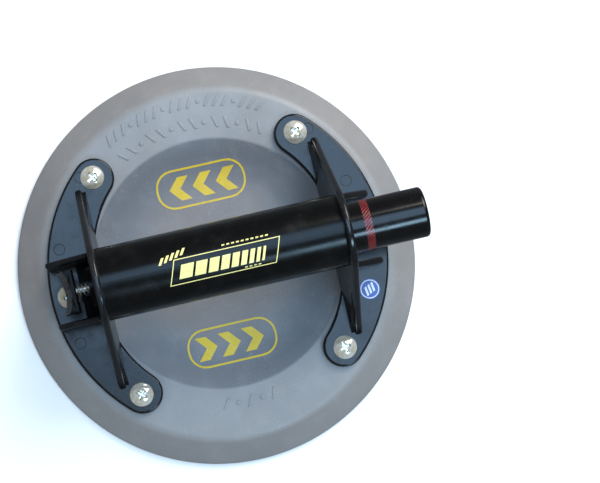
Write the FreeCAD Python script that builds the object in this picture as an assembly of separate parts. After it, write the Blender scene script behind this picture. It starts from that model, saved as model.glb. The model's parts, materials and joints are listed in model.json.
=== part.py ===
"""Hand-held vacuum suction cup with its pump in the handle.

Frame: +Z away from the glass, +X along the barrel towards the plunger, +Y across it.
Origin: centre of the pad's sealing plane. All sizes are in millimetres.
Run in any folder: it writes one STEP file per piece to parts/.
"""
import FreeCAD, Part
import math
import os

V = FreeCAD.Vector
X_AXIS = V(1, 0, 0)
Z_AXIS = V(0, 0, 1)

# ---------------------------------------------------------------- driving sizes
# handle: the grip's length and height, and the plunger's size, set most of the rest
wall_x = 59.0                # centre of the cup to the inner face of each wall
axis_z = 68.0                # glass to the barrel's axis
plunger_r = 12.35

# rubber pad
pad_top = 16.0               # height of the flat shoulder that carries the feet
shoulder_margin = 3.0        # shoulder outside the feet
lip_slope_w = 12.6           # shoulder to the rim; with the feet it makes a 203.2 mm pad
pad_lip_t = 3.2              # thickness of the lip at the rim
pad_under = 3.4              # height of the hollow underside above the glass
lip_land_w = 3.0             # rim to the inner edge of the ring that meets the glass
rim_edge = 0.6               # bevel at the bottom of the rim
lip_inner_w = 12.0           # rim to the hollow underside
notch_half_y = 26.9          # where the dish's edge comes out from under each wall
dish_slope_w = 23.5          # edge of the dish to its flat floor
dish_depth = 5.6
under_ring_w = 2.4           # raised rings that keep the hollow open
under_ring_h = 1.5
under_ring_gap = 13.0        # port to the ring on each side of it
under_ring_mid_r = 30.0

# plate and inserts inside the pad
plate_t = 2.4
plate_cover = 2.0            # rubber under the plate
insert_wall = 2.35
insert_flange_w = 1.6
insert_flange_t = 1.4

# screws that hold the feet
port_screw_gap = 1.3         # suction bush to the flange of the insert beside it
screw_angle = 46.8           # corner screws, from the barrel's axis
screw_shank_r = 3.0
screw_grip = 6.6             # thread length in the insert
head_r = 5.95
head_h = 3.3
head_flat_h = 1.1            # straight edge under the dome
recess_r = 3.4
recess_w = 1.35
recess_d = 2.0
recess_cone_r = 1.7
screw_clear = 0.3            # hole in the foot over the shank
thread_clear = 0.05

# brackets
foot_t = 4.0
foot_margin = 9.5            # screws to the foot's outer edge
lobe_r = 10.3                # round end of the foot at each corner screw
foot_hollow_r = 60.0         # curve of the foot's inner edge, from the lobe to the wall
foot_edge_fillet = 1.2
ejector_r = 3.0              # rings that the mould's ejector pins leave
ejector_line_w = 0.5
ejector_line_d = 0.4
valve_end_ejectors = [(5.9, 17.5), (5.9, -17.5), (4.4, 44.4)]  # inside the outer edge, angle
plunger_end_ejectors = [(9.4, 19.9), (4.4, 43.6)]
wall_t = 3.5
web_w = 1.8                 # how far the web under each wall's inner face reaches in
web_h = 28.0                # height of the web above the foot
wall_end_gap = 4.77          # corner screw to the end of the wall, across the barrel
wall_end_h = 1.6             # height of the wall above the foot at its ends
wall_edge_fillet = 1.4
ring_t = 4.35                # bracket material over the barrel
cheek_t = 3.0                # tall cheeks beside the release paddle
cheek_gap = 3.1              # paddle to each cheek
cheek_inset = 2.2            # foot's outer edge to the cheek's tip
cheek_rise = 2.0             # cheek above the barrel's axis at the wall
cheek_drop = 12.0            # and below it at the tip
cheek_round = 3.0
fin_edge_fillet = 1.2        # top edges of the cheeks and ribs
rib_t = 3.4                  # short ribs beside the plunger
rib_gap = 3.15               # plunger to each rib
rib_inset = 5.7
rib_drop = 18.0              # rib below the barrel's axis at the wall
rib_tip_h = 12.0             # rib above the foot at its tip
rib_round = 5.0
cover_gap = 1.2              # arched cover over the suction tube, to the nose above it
cover_head_gap = 0.75        # and to the head of the screw beside it
cover_rise = 12.0            # height of the arch

# pump barrel
bush_t = 1.65                # plunger to the bore
spigot_wall = 2.2            # barrel's wall where it passes through the brackets
grip_step = 1.45             # shoulder that each bracket stands against
bond_gap = 0.02              # spigot to bracket
ring_groove_d = 0.8
ring_groove_w = 1.1
ring_inset = 0.9             # groove to the spigot's end
retaining_gap = 0.05
retaining_cover = 0.6        # retaining ring's inner edge outside the plunger
retaining_open = 2.5         # half the gap in the ring

# plunger
stick_out = 38.4             # plunger's end outside the wall
plunger_wall = 2.15
plunger_cap_t = 4.0
plunger_end_fillet = 1.8
plunger_stroke = 30.0
stop_gap = 0.3               # shoulder to the guide bush when it is out
vent_r = 1.0                 # lets the pumped air out, under the plunger's end
slide_clear = 0.08
band_out = 7.1               # wall to the indicator band
band_w = 3.7
band_t = 0.7
band_sink = 0.05
band_grooves = 3
band_groove_w = 0.24
band_groove_d = 0.15

# piston
piston_len = 14.0
piston_spigot_len = 8.0
piston_gap = 0.05
piston_web = 4.0
seal_inset = 4.0             # piston's face to the seal's groove
seal_w = 4.6
seal_h = 3.0
seal_lip_t = 0.9

# guide bush and wiper
bush_len = 19.0
wiper_w = 2.4
wiper_t = 0.9

# valve body
body_len = 13.9
body_gap = 0.05
neck_step = 3.4              # bore to the neck
neck_out = 2.3               # neck outside the wall, where the release spring starts
nose_half_y = 3.4
nose_drop = 20.0             # nose's lower end below the barrel's axis
nose_wall = 1.0
nose_gap = 0.2               # nose to the wall's outer face
tube_depth = 6.0             # suction tube inside the nose
pocket_depth = 8.0
pocket_ledge = 2.0
oring_r = 0.9
oring_inset = 4.0
oring_squeeze = 0.02
valve_plate_t = 2.0
valve_plate_gap = 0.02
umbrella_r = 5.0
umbrella_t = 0.8
umbrella_stem_r = 1.1
umbrella_bead = 0.5
umbrella_bead_l = 0.9
flow_hole_r = 0.8
flow_circle_r = 3.0
flow_holes = 6

# suction way
tube_r = 1.5
tube_bore_r = 0.9
tube_gap = 0.05
gallery_r = 1.1
seal_ring_r = 0.7            # section of the ring round the tube
bush_wall = 1.5
bush_rise = 3.0              # suction bush above the backing plate
filter_r = 5.0
filter_t = 1.0

# release valve
stem_r = 1.5
stem_flat = 0.25
release_travel = 3.4
release_seal_r = 3.4
release_seal_t = 1.5
clip_r = 2.8
clip_t = 0.8
paddle_gap = 6.6             # neck to paddle when released
paddle_half_y = 10.6
paddle_below = 13.0          # paddle's edges, from the barrel's axis
paddle_above = 9.5
paddle_top_t = 4.6
paddle_bottom_t = 8.2
paddle_waist = 2.4           # thickness left at the middle of the thumb scoop, at the top
paddle_fillet = 0.7
spring_pocket = 3.0
release_spring_r = 2.4
release_wire_r = 0.35
release_turns = 4.5

# return spring
recess_wall = 1.4            # plunger's bore to the spring's recess in the piston
return_spring_gap = 0.6
return_wire_r = 0.6
return_turns = 9.0
spring_seat_gap = 0.05

# sticker
sticker_r = 5.2
sticker_t = 0.2
sticker_out = 8.8
sticker_y = -30.0

# ---------------------------------------------------------------- worked-out sizes
# feet, pad and screws
insert_r = screw_shank_r + thread_clear + insert_wall
insert_flange_r = insert_r + insert_flange_w
wall_out = wall_x + wall_t
tube_x = wall_out + nose_gap + nose_wall + tube_r
screw_circle_r = tube_x + tube_r + bush_wall + port_screw_gap + insert_flange_r
foot_outer_r = screw_circle_r + foot_margin
foot_z = pad_top + foot_t
corner_x = screw_circle_r * math.cos(math.radians(screw_angle))
corner_y = screw_circle_r * math.sin(math.radians(screw_angle))
wall_half_y = corner_y - wall_end_gap
corners = [(sx * corner_x, sy * corner_y) for sx in (1, -1) for sy in (1, -1)]
screw_places = corners + [(screw_circle_r, 0.0), (-screw_circle_r, 0.0)]
foot_x = wall_x - web_w
dish_r = math.hypot(foot_x, notch_half_y)
dish_floor_r = dish_r - dish_slope_w
shoulder_r = foot_outer_r + shoulder_margin
pad_r = shoulder_r + lip_slope_w
plate_r = foot_outer_r
plate_z = pad_under + plate_cover
insert_z = plate_z + plate_t

# barrel, brackets and plunger
bore_r = plunger_r + bush_t
spigot_r = bore_r + spigot_wall
barrel_r = spigot_r + grip_step
ring_r = barrel_r + ring_t
ring_x = wall_out - ring_inset - ring_groove_w
bush_in = ring_x - bush_len
cheek_y = paddle_half_y + cheek_gap + cheek_t / 2
cheek_x = foot_outer_r - cheek_inset
rib_y = plunger_r + rib_gap + rib_t / 2
rib_x = foot_outer_r - rib_inset
plunger_end_x = wall_out + stick_out
band_x = wall_out + band_out
big_plunger_r = bore_r - 4 * slide_clear
plunger_bore_r = plunger_r - plunger_wall
piston_end = bush_in - stop_gap - plunger_stroke - piston_gap
piston_face = piston_end - piston_len
recess_r_piston = plunger_bore_r - recess_wall
return_spring_r = recess_r_piston - return_spring_gap - return_wire_r
seal_groove_r = bore_r - seal_h

# valve body and release valve
body_out = ring_x
body_in = body_out - body_len
valve_plate_r = recess_r_piston + 2 * return_wire_r
pocket_r = valve_plate_r - pocket_ledge
neck_r = bore_r - neck_step
neck_x = wall_out + neck_out
nose_bottom_z = axis_z - nose_drop
nose_end = tube_x + tube_r + nose_wall
bush_top = insert_z + bush_rise
seal_ring_centre_r = tube_r + seal_ring_r + 0.1
paddle_x = neck_x + paddle_gap
under_ring_rs = [under_ring_mid_r, tube_x - under_ring_gap, tube_x + under_ring_gap]


# ---------------------------------------------------------------- helpers
def cyl_x(r, x0, x1, y=0.0, z=axis_z):
    """Cylinder along X from x0 to x1."""
    low = min(x0, x1)
    return Part.makeCylinder(r, abs(x1 - x0), V(low, y, z), X_AXIS)


def cyl_z(r, z0, z1, x=0.0, y=0.0):
    """Cylinder along Z from z0 to z1."""
    return Part.makeCylinder(r, z1 - z0, V(x, y, z0), Z_AXIS)


def box(x0, x1, y0, y1, z0, z1):
    """Box between two corners."""
    return Part.makeBox(x1 - x0, y1 - y0, z1 - z0, V(x0, y0, z0))


def tube_along_x(r_out, r_in, x0, x1):
    """Tube along the barrel's axis."""
    return cyl_x(r_out, x0, x1).cut(cyl_x(r_in, x0 - 1, x1 + 1))


def joined(shapes):
    """Fuse a list of shapes and tidy its seams."""
    out = shapes[0]
    for shape in shapes[1:]:
        out = out.fuse(shape)
    return out.removeSplitter()


def line(a, b):
    return Part.LineSegment(a, b).toShape()


def arc(a, b, c):
    return Part.Arc(a, b, c).toShape()


def mirrored(shape):
    """The same shape on the other side of the YZ plane."""
    return shape.mirror(V(0, 0, 0), X_AXIS)


def safe_fillet(shape, radius, edges):
    return shape.makeFillet(radius, edges) if edges else shape


def helix_spring(mean_r, wire_r, turns, x0, x1):
    """Round-wire spring along the barrel's axis, inside x0 to x1."""
    length = (x1 - x0) - 2 * wire_r
    path = Part.makeHelix(length / turns, length, mean_r)
    section = Part.Wire([Part.Circle(V(mean_r, 0, 0), V(0, 1, 0), wire_r).toShape()])
    coil = Part.Wire(path.Edges).makePipeShell([section], True, True)
    coil.rotate(V(0, 0, 0), V(0, 1, 0), 90)
    coil.translate(V(x0 + wire_r, 0, axis_z))
    return Part.Solid(coil) if coil.ShapeType != "Solid" else coil


# ---------------------------------------------------------------- pad
def backing_plate():
    plate = cyl_z(plate_r, plate_z, plate_z + plate_t)
    hole = cyl_z(tube_r + bush_wall + tube_gap, plate_z - 1, plate_z + plate_t + 1, -tube_x)
    return plate.cut(hole)


def insert_at(x, y):
    flange = cyl_z(insert_flange_r, insert_z, insert_z + insert_flange_t, x, y)
    sleeve = cyl_z(insert_r, insert_z, pad_top, x, y)
    hole = cyl_z(screw_shank_r + thread_clear, insert_z - 1, pad_top + 1, x, y)
    return joined([flange, sleeve]).cut(hole)


def suction_bush():
    body = cyl_z(tube_r + bush_wall, pad_under + filter_t, bush_top, -tube_x)
    seat = cyl_z(tube_r + tube_gap, plate_z, bush_top + 1, -tube_x)
    way = cyl_z(tube_bore_r, pad_under - 1, plate_z + 1, -tube_x)
    return body.cut(seat).cut(way)


def pad_rubber():
    under_r = pad_r - lip_inner_w
    top_z = pad_top
    floor_z = pad_top - dish_depth
    dish_mid = V((dish_r + dish_floor_r) / 2 - 2.0, 0, floor_z + 0.22 * dish_depth)
    pts = [V(0, 0, pad_under), V(under_r, 0, pad_under), V(pad_r - lip_land_w, 0, 0), V(pad_r - rim_edge, 0, 0),
           V(pad_r, 0, rim_edge), V(pad_r, 0, pad_lip_t), V(shoulder_r, 0, top_z), V(dish_r, 0, top_z)]
    edges = [line(a, b) for a, b in zip(pts, pts[1:])]
    edges.append(arc(pts[-1], dish_mid, V(dish_floor_r, 0, floor_z)))
    edges.append(line(V(dish_floor_r, 0, floor_z), V(0, 0, floor_z)))
    edges.append(line(V(0, 0, floor_z), pts[0]))
    pad = Part.Face(Part.Wire(edges)).revolve(V(0, 0, 0), Z_AXIS, 360)
    for r in under_ring_rs:
        low = pad_under - under_ring_h
        ring = cyl_z(r + under_ring_w / 2, low, pad_under + 0.5)
        ring = ring.cut(cyl_z(r - under_ring_w / 2, low - 1, pad_top))
        pad = pad.fuse(ring)
    pad = pad.cut(backing_plate())
    for x, y in screw_places:
        pad = pad.cut(cyl_z(insert_flange_r, insert_z, insert_z + insert_flange_t, x, y))
        pad = pad.cut(cyl_z(insert_r, insert_z, pad_top + 1, x, y))
    pad = pad.cut(cyl_z(tube_r + bush_wall, pad_under - 1, bush_top, -tube_x))
    groove_r = seal_ring_centre_r + seal_ring_r + tube_gap
    pad = pad.cut(cyl_z(groove_r, bush_top - 0.1, bush_top + 2 * seal_ring_r, -tube_x))
    pad = pad.cut(cyl_z(tube_r + tube_gap, bush_top, pad_top + 1, -tube_x))
    return pad.cut(cyl_z(filter_r, pad_under - 1, pad_under + filter_t, -tube_x))


def port_seal():
    return Part.makeTorus(seal_ring_centre_r, seal_ring_r, V(-tube_x, 0, bush_top + seal_ring_r), Z_AXIS)


def port_filter():
    return cyl_z(filter_r, pad_under, pad_under + filter_t, -tube_x)


# ---------------------------------------------------------------- brackets
def foot_outline():
    """Crescent foot on the +X side: arc outside, two lobes, hollow inner edges to the wall."""
    notch = V(foot_x, notch_half_y, 0)
    direction = V(corner_x, corner_y, 0) / screw_circle_r
    outer = direction * foot_outer_r
    lobe = direction * (foot_outer_r - lobe_r)
    to_lobe = lobe - notch
    along = to_lobe / to_lobe.Length
    inward = V(-along.y, along.x, 0)
    reach = (foot_hollow_r ** 2 - (foot_hollow_r + lobe_r) ** 2 + to_lobe.Length ** 2) / (2 * to_lobe.Length)
    hollow = notch + along * reach + inward * math.sqrt(foot_hollow_r ** 2 - reach ** 2)
    touch = lobe + (hollow - lobe) * (lobe_r / (lobe_r + foot_hollow_r))
    sag = (notch + touch) / 2 - hollow
    bow = hollow + sag * (foot_hollow_r / sag.Length)
    away = (touch - lobe + outer - lobe)
    lobe_mid = lobe + away * (lobe_r / away.Length)
    flip = [V(p.x, -p.y, 0) for p in (notch, touch, lobe_mid, outer, bow)]
    edges = [arc(notch, bow, touch), arc(touch, lobe_mid, outer), arc(outer, V(foot_outer_r, 0, 0), flip[3]),
             arc(flip[3], flip[2], flip[1]), arc(flip[1], flip[4], flip[0]), line(flip[0], notch)]
    return Part.Wire(edges)


def foot():
    face = Part.Face(foot_outline())
    face.translate(V(0, 0, pad_top))
    plate = face.extrude(V(0, 0, foot_t))
    edges = []
    for edge in plate.Edges:
        low = min(v.Z for v in edge.Vertexes)
        inner = all(abs(v.X - foot_x) < 0.01 for v in edge.Vertexes)
        if low > foot_z - 0.01 and not inner:
            edges.append(edge)
    return safe_fillet(plate, foot_edge_fillet, edges)


def wall():
    """Upright wall: straight flanks from the foot to a round crown over the barrel."""
    start = V(0, wall_half_y, foot_z + wall_end_h)
    centre = V(0, 0, axis_z)
    to_centre = centre - start
    reach = math.sqrt(to_centre.Length ** 2 - ring_r ** 2)
    turn = math.atan2(to_centre.z, to_centre.y) - math.asin(ring_r / to_centre.Length)
    touch = start + V(0, math.cos(turn), math.sin(turn)) * reach
    low = V(0, wall_half_y, pad_top)
    flip = [V(0, -p.y, p.z) for p in (low, start, touch)]
    edges = [line(low, start), line(start, touch), arc(touch, V(0, 0, axis_z + ring_r), flip[2]),
             line(flip[2], flip[1]), line(flip[1], flip[0]), line(flip[0], low)]
    face = Part.Face(Part.Wire(edges))
    face.translate(V(wall_x, 0, 0))
    body = face.extrude(V(wall_t, 0, 0))
    edges = []
    for edge in body.Edges:
        ends = edge.Vertexes
        level = abs(ends[0].X - ends[-1].X) < 0.01
        if level and max(v.Z for v in ends) > foot_z + 0.5:
            edges.append(edge)
    return safe_fillet(body, wall_edge_fillet, edges)


def web():
    """Web against the inner face of the wall: thickest at the foot, nothing at its top."""
    inset = wall_edge_fillet
    start = V(0, wall_half_y - inset, foot_z + wall_end_h - inset)
    slope = (axis_z + ring_r - start.z) / start.y
    top = V(0, start.y - web_h / slope, start.z + web_h)
    low = V(0, start.y, pad_top)
    across = [low, start, top] + [V(0, -p.y, p.z) for p in (top, start, low)]
    face = Part.Face(Part.makePolygon(across + across[:1]))
    face.translate(V(foot_x, 0, 0))
    body = face.extrude(V(wall_x + wall_t / 2 - foot_x, 0, 0))
    middle = wall_x + wall_t / 2
    bend_z = foot_z + web_h
    pts = [V(foot_x, 0, pad_top), V(foot_x, 0, foot_z), V(wall_x, 0, bend_z), V(middle, 0, bend_z),
           V(middle, 0, pad_top)]
    beside = Part.Face(Part.makePolygon(pts + pts[:1])).extrude(V(0, 2 * wall_half_y, 0))
    beside.translate(V(0, -wall_half_y, 0))
    return body.common(beside)


def is_fin_rim(edge, inside):
    """True for the edges of a fin's flat sides, apart from those inside the wall and the foot."""
    ends = edge.Vertexes
    across = abs(ends[0].Y - ends[-1].Y) > 0.01
    in_wall = all(v.X < inside + 0.01 for v in ends)
    in_foot = all(v.Z < pad_top + 1.01 for v in ends)
    return not (across or in_wall or in_foot)


def fin(y, t, x_tip, z_wall, z_tip, tip_round):
    """Upright fin outside the wall, sloping down to its tip, with a rounded outer corner."""
    inside = wall_x + wall_t / 2
    pts = [V(inside, 0, pad_top + 1), V(x_tip, 0, pad_top + 1), V(x_tip, 0, z_tip), V(inside, 0, z_wall)]
    face = Part.Face(Part.makePolygon(pts + pts[:1]))
    body = face.extrude(V(0, t, 0))
    corner = [e for e in body.Edges
              if all(abs(v.X - x_tip) < 0.01 and abs(v.Z - z_tip) < 0.01 for v in e.Vertexes)]
    body = safe_fillet(body, tip_round, corner)
    body = safe_fillet(body, fin_edge_fillet, [e for e in body.Edges if is_fin_rim(e, inside)])
    body.translate(V(0, y - t / 2, 0))
    return body


def tube_cover():
    """Arched cover between the cheeks, round the suction tube."""
    top_z = nose_bottom_z - cover_gap
    half = cheek_y
    side_z = top_z - cover_rise
    low = V(0, half, pad_top + 1)
    side = V(0, half, side_z)
    flip = [V(0, -p.y, p.z) for p in (low, side)]
    edges = [line(low, side), arc(side, V(0, 0, top_z), flip[1]), line(flip[1], flip[0]), line(flip[0], low)]
    face = Part.Face(Part.Wire(edges))
    face.translate(V(wall_x + wall_t / 2, 0, 0))
    return face.extrude(V(screw_circle_r - head_r - cover_head_gap - wall_x - wall_t / 2, 0, 0))


def ejector_line(inset, degrees):
    """Shallow ring in the top of the foot."""
    r, turn = foot_outer_r - inset, math.radians(degrees)
    x, y = r * math.cos(turn), r * math.sin(turn)
    ring = cyl_z(ejector_r, foot_z - ejector_line_d, foot_z + 1, x, y)
    return ring.cut(cyl_z(ejector_r - ejector_line_w, foot_z - 1, foot_z + 2, x, y))


def bracket(fin_list, ejectors):
    """Foot, wall, fins, barrel ring and screw holes, on the +X side."""
    plate = foot()
    for inset, degrees in ejectors:
        plate = plate.cut(ejector_line(inset, degrees))
    shape = joined([plate, wall(), web()] + fin_list)
    shape = shape.cut(cyl_x(spigot_r + bond_gap, wall_x - 1, wall_out + 1))
    for x, y in [(corner_x, corner_y), (corner_x, -corner_y), (screw_circle_r, 0.0)]:
        shape = shape.cut(cyl_z(screw_shank_r + screw_clear, pad_top - 1, foot_z + 1, x, y))
    return shape


def bracket_plunger_end():
    fins = [fin(s * rib_y, rib_t, rib_x, axis_z - rib_drop, foot_z + rib_tip_h, rib_round) for s in (1, -1)]
    return bracket(fins, plunger_end_ejectors)


def bracket_valve_end():
    fins = [fin(s * cheek_y, cheek_t, cheek_x, axis_z + cheek_rise, axis_z - cheek_drop, cheek_round)
            for s in (1, -1)]
    shape = mirrored(bracket(fins + [tube_cover()], valve_end_ejectors))
    return shape.cut(cyl_z(tube_r + tube_gap, pad_top - 1, nose_bottom_z, -tube_x))


def bracket_screw(x, y):
    shank = cyl_z(screw_shank_r, pad_top - screw_grip, foot_z, x, y)
    dome_h = head_h - head_flat_h
    dome_r = (head_r ** 2 + dome_h ** 2) / (2 * dome_h)
    dome = Part.makeSphere(dome_r, V(x, y, foot_z + head_h - dome_r))
    head = cyl_z(head_r, foot_z, foot_z + head_h, x, y).common(dome)
    screw = joined([shank, head])
    top = foot_z + head_h + 0.5
    floor = foot_z + head_h - recess_d
    for across in (0, 1):
        half_x = recess_r if across else recess_w / 2
        half_y = recess_w / 2 if across else recess_r
        screw = screw.cut(box(x - half_x, x + half_x, y - half_y, y + half_y, floor, top))
    return screw.cut(Part.makeCone(recess_cone_r / 2, recess_cone_r, recess_d + 0.5, V(x, y, floor), Z_AXIS))


# ---------------------------------------------------------------- barrel and bush
def pump_barrel():
    body = cyl_x(barrel_r, -wall_x, wall_x)
    ends = cyl_x(spigot_r, -wall_out, wall_out)
    shape = joined([body, ends]).cut(cyl_x(bore_r, -wall_out - 1, wall_out + 1))
    for side in (1, -1):
        groove = cyl_x(bore_r + ring_groove_d, side * ring_x, side * (ring_x + ring_groove_w))
        shape = shape.cut(groove)
    return shape


def retaining_ring(side):
    """Open retaining ring in the groove at one end of the bore."""
    x0 = side * (ring_x + retaining_gap)
    x1 = side * (ring_x + ring_groove_w - retaining_gap)
    outer = bore_r + ring_groove_d - retaining_gap
    ring = tube_along_x(outer, plunger_r + retaining_cover, min(x0, x1), max(x0, x1))
    gap = box(min(x0, x1) - 1, max(x0, x1) + 1, -retaining_open, retaining_open, axis_z - bore_r - 2, axis_z)
    return ring.cut(gap)


def guide_bush():
    bush = tube_along_x(bore_r - body_gap, plunger_r + slide_clear, bush_in, ring_x)
    pocket = cyl_x(plunger_r + slide_clear + wiper_t, ring_x - wiper_w, ring_x + 1)
    return bush.cut(pocket)


def wiper_ring():
    outer = plunger_r + slide_clear + wiper_t - piston_gap
    return tube_along_x(outer, plunger_r + slide_clear / 2, ring_x - wiper_w, ring_x - piston_gap)


# ---------------------------------------------------------------- plunger and piston
def plunger_tube():
    x0 = piston_end + piston_gap
    shoulder = bush_in - stop_gap
    big = cyl_x(big_plunger_r, x0, shoulder)
    slim = cyl_x(plunger_r, x0, plunger_end_x)
    rim = [e for e in slim.Edges if e.BoundBox.XMin > plunger_end_x - 0.01]
    slim = safe_fillet(slim, plunger_end_fillet, rim)
    shape = joined([big, slim])
    shape = shape.cut(cyl_x(plunger_bore_r, x0 - 1, plunger_end_x - plunger_cap_t))
    groove = tube_along_x(plunger_r + 1, plunger_r - band_t, band_x, band_x + band_w)
    vent_x = plunger_end_x - plunger_cap_t - 2 * vent_r
    vent = Part.makeCylinder(vent_r, plunger_r + 2, V(vent_x, 0, axis_z), V(0, 0, -1))
    return shape.cut(groove).cut(vent)


def indicator_band():
    band = tube_along_x(plunger_r - band_sink, plunger_r - band_t, band_x, band_x + band_w)
    pitch = band_w / (band_grooves + 1)
    for i in range(band_grooves):
        x = band_x + pitch * (i + 1)
        floor = plunger_r - band_sink - band_groove_d
        band = band.cut(tube_along_x(plunger_r, floor, x - band_groove_w / 2, x + band_groove_w / 2))
    return band


def piston_head():
    body = cyl_x(bore_r - slide_clear, piston_face, piston_end)
    spigot = cyl_x(plunger_bore_r - piston_gap, piston_face + 1, piston_end + piston_spigot_len)
    shape = joined([body, spigot])
    seal_x = piston_face + seal_inset
    shape = shape.cut(tube_along_x(bore_r + 1, seal_groove_r, seal_x, seal_x + seal_w))
    web_x = piston_end - piston_web
    shape = shape.cut(cyl_x(recess_r_piston, piston_face - 1, web_x))
    shape = shape.cut(cyl_x(umbrella_r + umbrella_bead, piston_end, piston_end + piston_spigot_len + 1))
    return flow_holes_cut(shape, web_x, piston_end)


def flow_holes_cut(shape, x0, x1):
    """Centre hole and ring of flow holes of an umbrella valve's seat."""
    shape = shape.cut(cyl_x(umbrella_stem_r, x0 - 1, x1 + 1))
    for i in range(flow_holes):
        a = 2 * math.pi * i / flow_holes
        y = flow_circle_r * math.cos(a)
        z = axis_z + flow_circle_r * math.sin(a)
        shape = shape.cut(cyl_x(flow_hole_r, x0 - 1, x1 + 1, y, z))
    return shape


def umbrella(seat_x, web):
    """Rubber umbrella valve whose skirt lies on the seat's +X face."""
    skirt = Part.makeCone(umbrella_r, umbrella_r * 0.45, umbrella_t, V(seat_x, 0, axis_z), X_AXIS)
    tail_x = seat_x - web - umbrella_bead_l
    stem = cyl_x(umbrella_stem_r - valve_plate_gap, tail_x, seat_x + umbrella_t / 2)
    bead = cyl_x(umbrella_stem_r + umbrella_bead, tail_x, seat_x - web - valve_plate_gap)
    return joined([skirt, stem, bead])


def piston_seal():
    """Cup seal: a ring with a lip groove that opens towards the pump chamber."""
    x0 = piston_face + seal_inset + piston_gap
    x1 = x0 + seal_w - 2 * piston_gap
    ring = tube_along_x(bore_r - slide_clear / 4, seal_groove_r + valve_plate_gap, x0, x1)
    lip = tube_along_x(bore_r - seal_lip_t, seal_groove_r + seal_lip_t, x0 - 1, x0 + seal_w / 2)
    return ring.cut(lip)


# ---------------------------------------------------------------- valve body
def valve_body():
    plug = cyl_x(bore_r - body_gap, -body_out, -body_in)
    neck = cyl_x(neck_r, -neck_x, -body_out + 1)
    nose = box(-nose_end, -(wall_out + nose_gap), -nose_half_y, nose_half_y,
               nose_bottom_z, axis_z - neck_r * 0.55)
    shape = joined([plug, neck, nose])
    seat_x = -body_in - valve_plate_t - pocket_depth
    shape = shape.cut(cyl_x(pocket_r, seat_x, -body_in + 1))
    shape = shape.cut(cyl_x(valve_plate_r + valve_plate_gap, -body_in - valve_plate_t, -body_in + 1))
    shape = shape.cut(cyl_x(stem_r + slide_clear, -neck_x - 1, seat_x + 1))
    spring_room = release_spring_r + 1.7 * release_wire_r
    shape = shape.cut(cyl_x(spring_room, -neck_x - 1, -neck_x + spring_pocket))
    gallery_z = axis_z - pocket_r + 1.4 * gallery_r
    shape = shape.cut(cyl_x(gallery_r, -tube_x, seat_x + 1, 0.0, gallery_z))
    shape = shape.cut(cyl_z(gallery_r, nose_bottom_z, gallery_z, -tube_x))
    shape = shape.cut(cyl_z(tube_r + tube_gap, nose_bottom_z - 1, nose_bottom_z + tube_depth, -tube_x))
    groove_x = -body_out + oring_inset
    groove_half = 1.2 * oring_r
    return shape.cut(tube_along_x(bore_r + 1, bore_r - 2 * oring_r, groove_x - groove_half, groove_x + groove_half))


def valve_oring():
    centre_r = bore_r - oring_r - oring_squeeze
    return Part.makeTorus(centre_r, oring_r - oring_squeeze, V(-body_out + oring_inset, 0, axis_z), X_AXIS)


def valve_plate():
    plate = cyl_x(valve_plate_r, -body_in - valve_plate_t, -body_in)
    return flow_holes_cut(plate, -body_in - valve_plate_t, -body_in)


def suction_tube():
    tube = cyl_z(tube_r, plate_z + tube_gap, nose_bottom_z + tube_depth - tube_gap, -tube_x)
    return tube.cut(cyl_z(tube_bore_r, plate_z - 1, nose_bottom_z + tube_depth + 1, -tube_x))


# ---------------------------------------------------------------- release valve
def release_stem():
    seat_x = -body_in - valve_plate_t - pocket_depth
    x0 = -paddle_x - paddle_waist * 0.5
    x1 = seat_x + release_seal_t + clip_t + 0.5 * stem_r
    stem = cyl_x(stem_r, x0, x1)
    flat_in = -neck_x + spring_pocket
    for side in (1, -1):
        edge = stem_r - stem_flat
        flat = box(flat_in, seat_x, -stem_r, stem_r, axis_z + min(side * edge, side * stem_r),
                   axis_z + max(side * edge, side * stem_r))
        stem = stem.cut(flat)
    return stem


def release_seal():
    seat_x = -body_in - valve_plate_t - pocket_depth
    x0 = seat_x + valve_plate_gap
    return tube_along_x(release_seal_r, stem_r, x0, x0 + release_seal_t)


def release_clip():
    x0 = -body_in - valve_plate_t - pocket_depth + 2 * valve_plate_gap + release_seal_t
    ring = tube_along_x(clip_r, stem_r, x0, x0 + clip_t)
    return ring.cut(box(x0 - 1, x0 + clip_t + 1, -stem_r * 0.7, stem_r * 0.7, axis_z - clip_r - 1, axis_z))


def release_paddle():
    """Thumb paddle: flat towards the barrel, its outer face leans out downwards and is scooped."""
    low_z = axis_z - paddle_below
    top_z = axis_z + paddle_above
    pts = [V(-paddle_x, 0, low_z), V(-paddle_x - paddle_bottom_t, 0, low_z),
           V(-paddle_x - paddle_top_t, 0, top_z), V(-paddle_x, 0, top_z)]
    face = Part.Face(Part.makePolygon(pts + pts[:1]))
    body = face.extrude(V(0, 2 * paddle_half_y, 0))
    body.translate(V(0, -paddle_half_y, 0))
    body = body.makeFillet(paddle_fillet, body.Edges)
    depth = paddle_top_t - paddle_waist
    half = paddle_half_y - paddle_fillet - 0.2
    scoop_r = (half ** 2 + depth ** 2) / (2 * depth)
    lean = V(paddle_bottom_t - paddle_top_t, 0, top_z - low_z)
    start = V(-paddle_x - paddle_bottom_t, 0, low_z) + V(depth - scoop_r, 0, 0) - lean
    body = body.cut(Part.makeCylinder(scoop_r, lean.Length * 3, start, lean))
    return body.cut(cyl_x(stem_r, -paddle_x - paddle_waist * 0.5, -paddle_x + 1))


def release_spring():
    return helix_spring(release_spring_r, release_wire_r, release_turns,
                        -paddle_x + spring_seat_gap, -neck_x + spring_pocket - spring_seat_gap)


def return_spring():
    return helix_spring(return_spring_r, return_wire_r, return_turns,
                        -body_in + spring_seat_gap, piston_end - piston_web - spring_seat_gap)


def info_sticker():
    return cyl_z(sticker_r, foot_z, foot_z + sticker_t, wall_out + sticker_out, sticker_y)


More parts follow.
